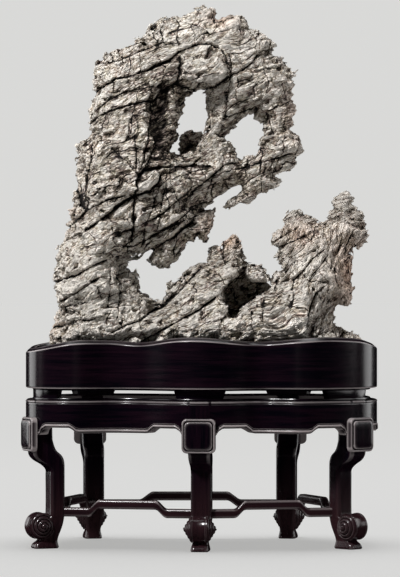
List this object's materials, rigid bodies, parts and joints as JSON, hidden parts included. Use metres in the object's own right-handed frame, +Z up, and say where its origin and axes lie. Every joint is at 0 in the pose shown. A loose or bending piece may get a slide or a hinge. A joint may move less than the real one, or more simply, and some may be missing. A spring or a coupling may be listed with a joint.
{
  "type": "scholar's rock on a stand",
  "caption": "Pierced, deeply fissured upright stone resting in a lobed tray on a waisted hardwood stand with scroll-footed legs and humpback rails.",
  "frame": {"origin": "on the floor under the middle of the object's bounding box", "axes": "+Z up; the front faces -Y; +X is to the right seen from the front"},
  "size_m": [0.4071, 0.263, 0.6185],
  "materials": {
    "rock": "rough, unpolished limestone",
    "tray": "polished, near-black hardwood",
    "waist": "polished, near-black hardwood",
    "apron_front_left": "polished, near-black hardwood",
    "apron_front_right": "polished, near-black hardwood",
    "apron_right": "polished, near-black hardwood",
    "apron_back": "polished, near-black hardwood",
    "apron_left": "polished, near-black hardwood",
    "leg_front_left": "polished, near-black hardwood",
    "leg_front": "polished, near-black hardwood",
    "leg_front_right": "polished, near-black hardwood",
    "leg_back_right": "polished, near-black hardwood",
    "leg_back_left": "polished, near-black hardwood",
    "stretcher_front_left": "polished, near-black hardwood",
    "stretcher_front_right": "polished, near-black hardwood",
    "stretcher_right": "polished, near-black hardwood",
    "stretcher_back": "polished, near-black hardwood",
    "stretcher_left": "polished, near-black hardwood"
  },
  "bodies": {
    "root": {"rock": "rock", "tray": "tray", "waist": "waist", "apron_front_left": "apron_front_left", "apron_front_right": "apron_front_right", "apron_right": "apron_right", "apron_back": "apron_back", "apron_left": "apron_left", "leg_front_left": "leg_front_left", "leg_front": "leg_front", "leg_front_right": "leg_front_right", "leg_back_right": "leg_back_right", "leg_back_left": "leg_back_left", "stretcher_front_left": "stretcher_front_left", "stretcher_front_right": "stretcher_front_right", "stretcher_right": "stretcher_right", "stretcher_back": "stretcher_back", "stretcher_left": "stretcher_left"}
  },
  "joints": []
}
